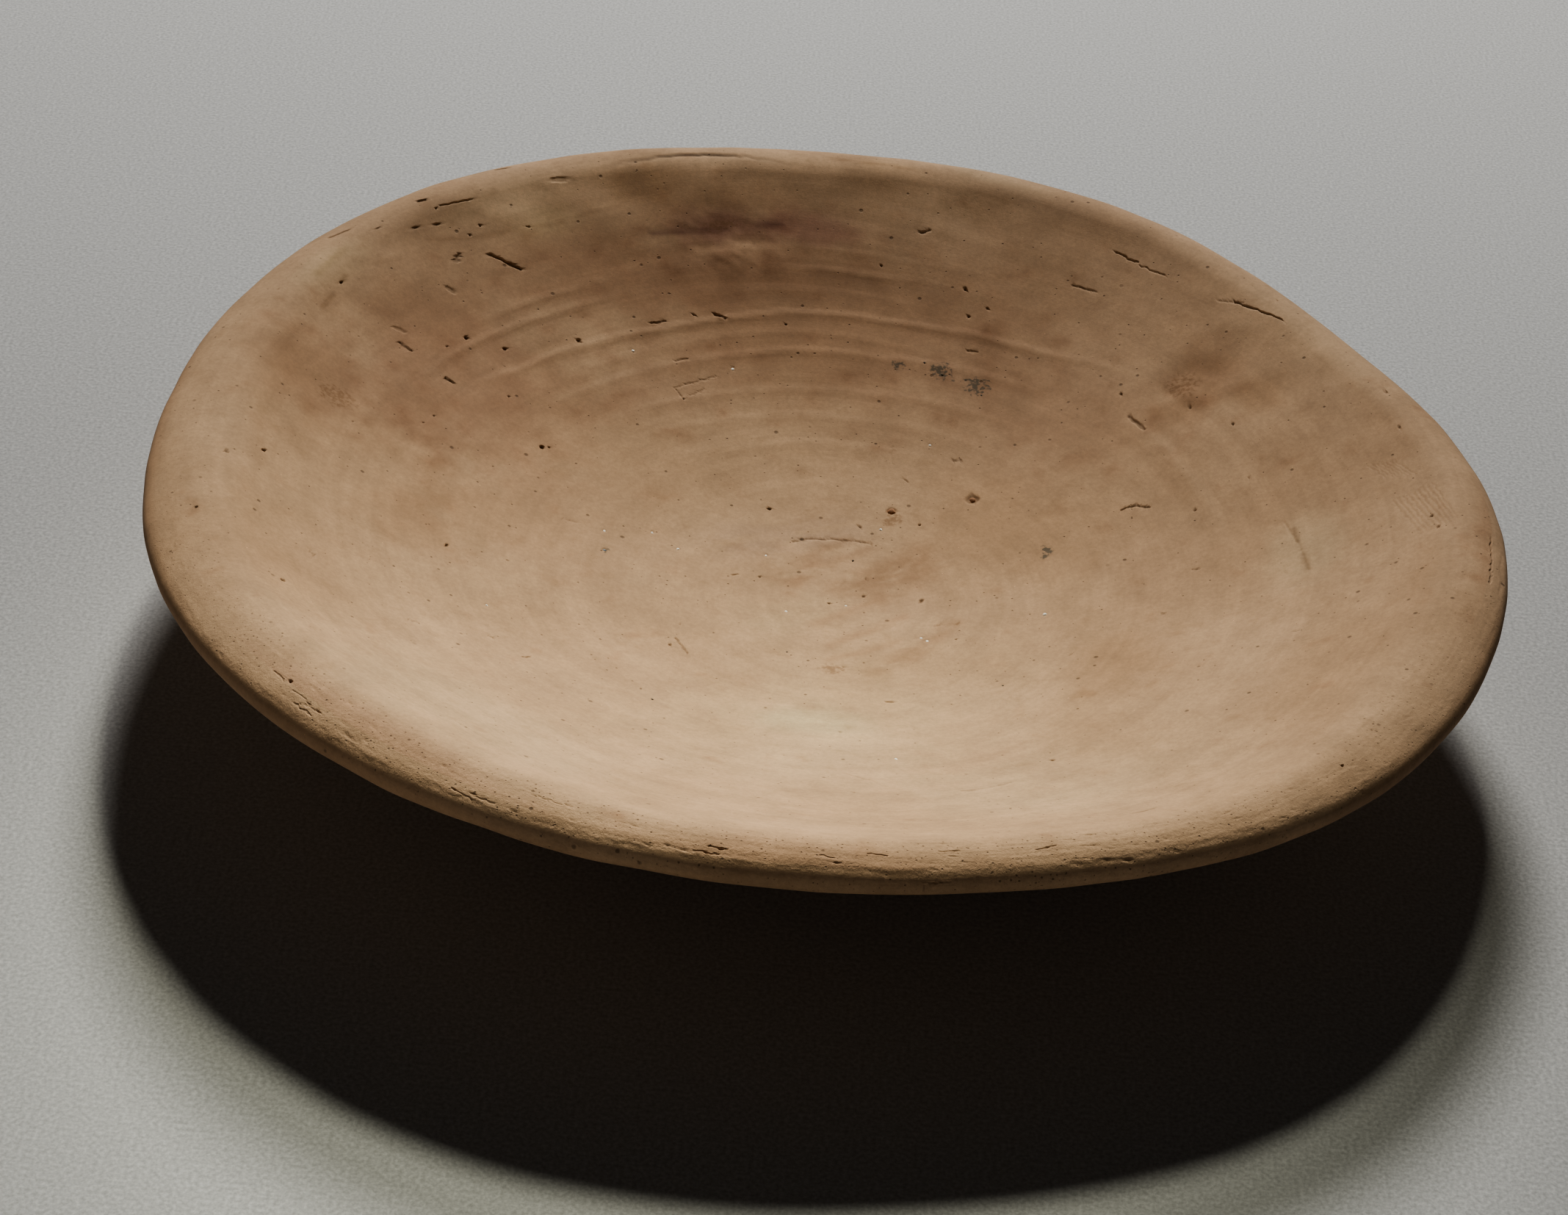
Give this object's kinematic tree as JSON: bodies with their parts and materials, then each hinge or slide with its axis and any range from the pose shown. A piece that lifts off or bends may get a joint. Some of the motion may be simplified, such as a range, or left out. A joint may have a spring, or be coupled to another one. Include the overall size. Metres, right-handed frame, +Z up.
{
  "type": "clay dish",
  "caption": "Wide shallow round dish of thick unglazed fired clay: smoothly hollowed inside, rounded coil rim, rounded underside with a small flat foot.",
  "frame": {"origin": "middle of the flat foot, on the table", "axes": "+Z up out of the hollow along the axis of the dish; the outline is nearly round, so +X and +Y are only told apart by the marks in the clay"},
  "size_m": [0.38, 0.38, 0.069],
  "materials": {
    "clay": "matt unglazed fired clay, faintly mottled",
    "rim_clay": "matt unglazed fired clay, dragged and pitted",
    "pale_grain": "pale mineral grains",
    "dark_grain": "dark mineral grains",
    "grey_grain": "blue-grey mineral grain",
    "grog": "crumbs of red-brown fired clay"
  },
  "bodies": {
    "root": {"dish": "clay", "rim_coil": "rim_clay", "pale_grit": "pale_grain", "dark_grit": "dark_grain", "blue_grey_grit": "grey_grain", "brown_grog": "grog"}
  },
  "joints": []
}
